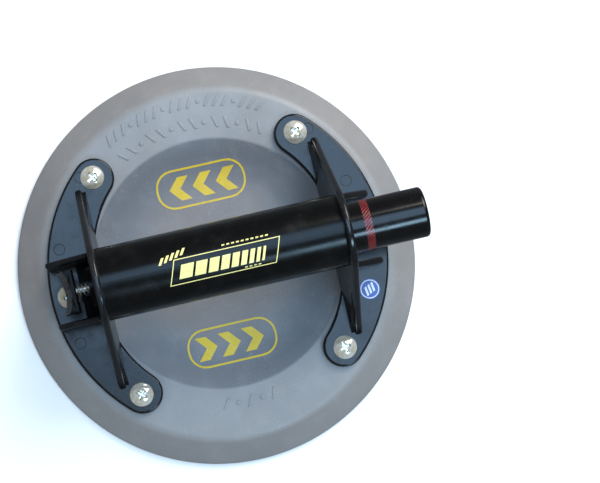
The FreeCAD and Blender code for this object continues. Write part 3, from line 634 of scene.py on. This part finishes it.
# %% Flat shapes
def bar(bm, centre, size, slant=0.0, turn=0.0, corner=0.0):
    """A flat bar in millimetres. Slant shears it sideways, and corner rounds its corners."""
    made = bmesh.ops.create_grid(bm, x_segments=1, y_segments=1, size=0.5)["verts"]
    lean = Matrix.Identity(4)
    lean[0][1] = slant
    place = Matrix.Translation((centre[0], centre[1], 0)) @ Matrix.Rotation(math.radians(turn), 4, "Z") @ lean
    bmesh.ops.transform(bm, matrix=place @ Matrix.Diagonal((size[0], size[1], 1, 1)), verts=made)
    face = made[0].link_faces[0]
    if corner:
        rounded = bmesh.ops.bevel(bm, geom=list(face.verts), offset=corner, offset_type="OFFSET", segments=5,
                                  profile=0.5, affect="VERTICES", material=-1, clamp_overlap=True)
        face = rounded["verts"][0].link_faces[0]
    return face


def frame_of(bm, face, width):
    """Leaves only a frame of that width around the face."""
    bmesh.ops.inset_region(bm, faces=[face], thickness=width, use_even_offset=True, use_boundary=True)
    bmesh.ops.delete(bm, geom=[face], context="FACES")


def cells(bm, step, across=True):
    """Cuts the flat shapes every step millimetres, along y and, if across, along x too."""
    for axis in (0, 1) if across else (1,):
        spots = [v.co[axis] for v in bm.verts]
        cut = min(spots) + step
        while cut < max(spots):
            normal = Vector((axis == 0, axis == 1, 0))
            bmesh.ops.bisect_plane(bm, geom=bm.verts[:] + bm.edges[:] + bm.faces[:], plane_co=normal * cut,
                                   plane_no=normal, dist=1e-5)
            cut += step


def thicken(bm, thickness=0.05):
    """Makes a solid of the flat shapes."""
    bmesh.ops.recalc_face_normals(bm, faces=bm.faces)
    bmesh.ops.solidify(bm, geom=bm.faces[:], thickness=thickness * MM)
    bmesh.ops.recalc_face_normals(bm, faces=bm.faces)


# %% [markdown]
# Two yellow marks lie in the dish, one each side of the barrel, turned half round from each other. Each is
# a plain badge: a long rounded frame with three arrowheads.

# %% Badges in the dish
badges = bmesh.new()
for centre, turn in (((0.5, 41.3), 180.0), ((-2.0, -40.7), 0.0)):
    badge = bmesh.new()
    frame_of(badge, bar(badge, (0, 0), (46, 20), corner=9.0), 1.0)
    for x in (-11.5, 0.5, 12.5):
        for side in (1, -1):
            bar(badge, (x - 1.5, side * 3.0), (5.6, 6.0), slant=-side * 0.85)
    bmesh.ops.remove_doubles(badge, verts=badge.verts, dist=1e-4)
    cells(badge, 1.6)
    move = Matrix.Translation((*centre, 0)) @ Matrix.Rotation(math.radians(turn), 4, "Z")
    bmesh.ops.transform(badge, matrix=move, verts=badge.verts)
    spare = bpy.data.meshes.new("badge")
    badge.to_mesh(spare)
    badge.free()
    badges.from_mesh(spare)
    bpy.data.meshes.remove(spare)
for v in badges.verts:
    spot = pad_surface.ray_cast(Vector((v.co.x * MM, v.co.y * MM, 0.05)), Vector((0, 0, -1)))[0]
    v.co = spot + Vector((0, 0, 0.02 * MM))
thicken(badges)
new_piece("badge_prints", badges, yellow_ink, sharp=60)

# %% [markdown]
# The barrel's print sits a little below its crown: a slanted frame with a row of slanted blocks, and small
# dashes above and below. It is drawn flat, cut into strips, and rolled round the barrel.

# %% Barrel print
label = bmesh.new()
SLANT = 0.34
frame_of(label, bar(label, (0.4, -3.0), (51.6, 12.4), slant=SLANT), 0.42)
x = -21.4
for width in (6.2, 5.4, 4.7, 4.0, 3.4, 2.8, 2.2, 1.7, 1.2):
    bar(label, (x + width / 2, -3.2), (width, 6.6), slant=SLANT)
    x += width + 1.2
for i in range(5):
    bar(label, (-29.2 + 2.7 * i, 3.6 + 0.68 * i), (1.3, 3.4), slant=0.6)
for i in range(10):
    bar(label, (1.0 + 2.35 * i, 5.0), (1.4, 0.7), slant=SLANT)
for i in range(4):
    bar(label, (9.6 + 2.2 * i, -7.9), (1.3, 0.5), slant=SLANT)
cells(label, 0.5, across=False)
for v in label.verts:
    angle, r = v.co.y / barrel_radius, (barrel_radius + 0.02) * MM
    v.co = Vector((v.co.x * MM, r * math.sin(angle), axis_height * MM + r * math.cos(angle)))
thicken(label)
new_piece("barrel_print", label, cream_ink, sharp=60)

# %% [markdown]
# The round sticker on the plunger's foot is blue with a white ring and three plain slanted bars.

# %% Sticker print
sticker_low, sticker_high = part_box("info_sticker")
sticker_mid = (sticker_low + sticker_high) / 2
signs = bmesh.new()
disc = bmesh.ops.create_circle(signs, cap_ends=True, segments=48, radius=4.75)["verts"][0].link_faces[0]
frame_of(signs, disc, 0.45)
for step in (-1, 0, 1):
    bar(signs, (step * 1.9, 0), (1.15, 4.4), slant=0.3)
move = Matrix.Translation((sticker_mid.x, sticker_mid.y, sticker_high.z + 0.01 * MM))
bmesh.ops.transform(signs, matrix=move @ Matrix.Rotation(math.radians(25), 4, "Z") @ Matrix.Scale(MM, 4),
                    verts=signs.verts)
thicken(signs, 0.03)
new_piece("sticker_print", signs, white_ink, sharp=60)


# %% [markdown]
# ## Paddle and springs
# A mould can't make a knife edge, and it is the rounded edges that catch the light, so the thumb paddle is
# the CAD's shape with its triangles merged and a Bevel modifier on its edges. The two springs are copies of
# the CAD's coils with their triangles merged.

# %% Copies of CAD shapes
def copy_of(node, name):
    """A piece with a CAD node's shape, which stands for it."""
    bm = bmesh.new()
    bm.from_mesh(nodes[node].data)
    for layer in [l for l in bm.loops.layers.float_vector.values() if "normal" in l.name]:
        bm.loops.layers.float_vector.remove(layer)
    bmesh.ops.remove_doubles(bm, verts=bm.verts, dist=2e-6)
    bmesh.ops.dissolve_limit(bm, angle_limit=math.radians(0.6), verts=bm.verts[:], edges=bm.edges[:])
    piece = new_piece(name, bm, nodes[node].data.materials[0], nodes[node]["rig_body"])
    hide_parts(node)
    return piece


paddle = copy_of("release_paddle", "thumb_paddle")
soft = paddle.modifiers.new("soft edges", "BEVEL")
soft.width, soft.segments, soft.harden_normals = 0.5 * MM, 3, True
soft.limit_method, soft.angle_limit = "ANGLE", math.radians(28)

# %% [markdown]
# The return spring stands against the valve, at the barrel's closed end. The release spring stands in a
# pocket at the valve's outer end. `fixed` says which end of a spring's box that is: 0 for the low end of
# x, 1 for the high one.

# %% Springs
for node, name, joint, travel, fixed in (("return_spring", "plunger_spring", "plunger_slide", 30.0, 0),
                                         ("release_spring", "paddle_spring", "release_slide", 3.4, 1)):
    spring = copy_of(node, name)
    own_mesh(spring)

# %% [markdown]
# ## Ejector marks
# The pins that push a moulding out of its die leave round grooves on the feet, which the CAD has. A thin
# dark ring lies in each: a painted shade for the groove's shadow.

# %% Ejector marks
marks = bmesh.new()
for x, y in ((-76.39, 24.09), (-76.39, -24.09), (-58.3, 57.09), (72.03, 26.07), (59.09, 56.27)):
    made = bmesh.ops.create_circle(marks, cap_ends=True, segments=40, radius=3.0,
                                   matrix=Matrix.Translation((x, y, 0)))
    frame_of(marks, made["verts"][0].link_faces[0], 0.42)
bmesh.ops.transform(marks, matrix=Matrix.Scale(MM, 4) @ Matrix.Translation((0, 0, foot_top - 0.2)),
                    verts=marks.verts)
thicken(marks, 0.1)
# Painted shade: these dark rings stand for the shadow inside the grooves.
new_piece("ejector_groove_shade", marks, valve_rubber, sharp=60)

# %% [markdown]
# ## Screws
# Six pan-head screws hold the feet. Such a head is a low dome on a short straight edge, and its cross
# recess has walls that lean outwards, so that the driver's tip wedges in. One screw is turned on a lathe:
# an arc spun from a single point for the dome, then the whole outline spun round. Two tapered bars cut
# the recess, and copies go to each place, each turned as it stopped when it was tightened.

# %% One screw
HEAD_R, HEAD_H, EDGE_H, SHANK_R, SHANK_L = 5.95, 3.3, 1.1, 3.0, 10.6
dome_h = HEAD_H - EDGE_H
dome_r = (HEAD_R ** 2 + dome_h ** 2) / (2 * dome_h)
screw = bmesh.new()
top = screw.verts.new((0, 0, HEAD_H))
bmesh.ops.spin(screw, geom=[top], cent=(0, 0, HEAD_H - dome_r), axis=(0, 1, 0),
               angle=math.asin(HEAD_R / dome_r), steps=10)
last = max(screw.verts, key=lambda v: v.co.x)
for r, z in ((HEAD_R, 0.25), (HEAD_R - 0.25, 0), (SHANK_R, 0), (SHANK_R, -SHANK_L), (0, -SHANK_L)):
    following = screw.verts.new((r, 0, z))
    screw.edges.new((last, following))
    last = following
bmesh.ops.spin(screw, geom=screw.verts[:] + screw.edges[:], cent=(0, 0, 0), axis=(0, 0, 1), angle=math.tau,
               steps=64, use_merge=True)
bmesh.ops.remove_doubles(screw, verts=screw.verts, dist=1e-4)
bmesh.ops.recalc_face_normals(screw, faces=screw.faces)
for degrees in (0, 90):
    blade = bmesh.new()
    turn = Matrix.Rotation(math.radians(degrees), 4, "Z")
    made = bmesh.ops.create_cube(blade, size=1.0, matrix=turn @ Matrix.Translation((0, 0, HEAD_H - 0.6))
                                 @ Matrix.Diagonal((7.2, 2.1, 3.2, 1)))
    low = [v for v in made["verts"] if v.co.z < HEAD_H - 1.0]
    narrow = turn @ Matrix.Diagonal((0.62, 0.42, 1, 1)) @ turn.transposed()
    bmesh.ops.transform(blade, matrix=narrow, verts=low)
    screw = carve(screw, blade)
print("one screw:", len(screw.faces), "faces")

# %% [markdown]
# The screws stand on one circle: one at each end of the handle and four at the feet's tips.

# %% Six screws
CORNER_DEGREES = 46.8
screws = bmesh.new()
screw_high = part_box("bracket_screws")[1]
head_z = screw_high.z / MM - HEAD_H
circle = screw_high.x / MM - HEAD_R
corner = (circle * math.cos(math.radians(CORNER_DEGREES)), circle * math.sin(math.radians(CORNER_DEGREES)))
one = bpy.data.meshes.new("one_screw")
screw.to_mesh(one)
screw.free()
for x, y, degrees in ((corner[0], corner[1], 42), (corner[0], -corner[1], 18), (-corner[0], corner[1], 33),
                      (-corner[0], -corner[1], 48), (-circle, 0, 12), (circle, 0, 70)):
    before = len(screws.verts)
    screws.from_mesh(one)
    screws.verts.ensure_lookup_table()
    bmesh.ops.transform(screws, matrix=Matrix.Scale(MM, 4) @ Matrix.Translation((x, y, head_z))
                        @ Matrix.Rotation(math.radians(degrees), 4, "Z"), verts=screws.verts[before:])
bpy.data.meshes.remove(one)
screws_piece = new_piece("cross_screws", screws, zinc, sharp=30)
edge = screws_piece.modifiers.new("soft edges", "BEVEL")
edge.width, edge.segments, edge.limit_method, edge.angle_limit = 0.12 * MM, 2, "ANGLE", math.radians(35)
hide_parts("bracket_screws")

# %% [markdown]
# ## Table
# The table is pale and plain. In mirror reflections it is darker, so that the black plastic stays black.

# %% Table
floor_shape = bmesh.new()
bmesh.ops.create_grid(floor_shape, x_segments=1, y_segments=1, size=3.0)
floor_mesh = bpy.data.meshes.new("floor")
floor_shape.to_mesh(floor_mesh)
floor_shape.free()
floor = bpy.data.objects.new("floor", floor_mesh)
scene.collection.objects.link(floor)
floor_white, tree, shader, place = new_finish("pale_floor", 0.7)
paper = mixed(tree, noise(tree, place, 60.0), (0.88, 0.88, 0.875, 1.0), (0.90, 0.90, 0.90, 1.0))
mirrored = tree.nodes.new("ShaderNodeLightPath").outputs["Is Glossy Ray"]
tree.links.new(mixed(tree, mirrored, paper, (0.10, 0.10, 0.10, 1.0)), shader.inputs["Base Color"])
floor_mesh.materials.append(floor_white)
print("table", round(2 * max(v.co.x for v in floor_mesh.vertices)), "m wide")
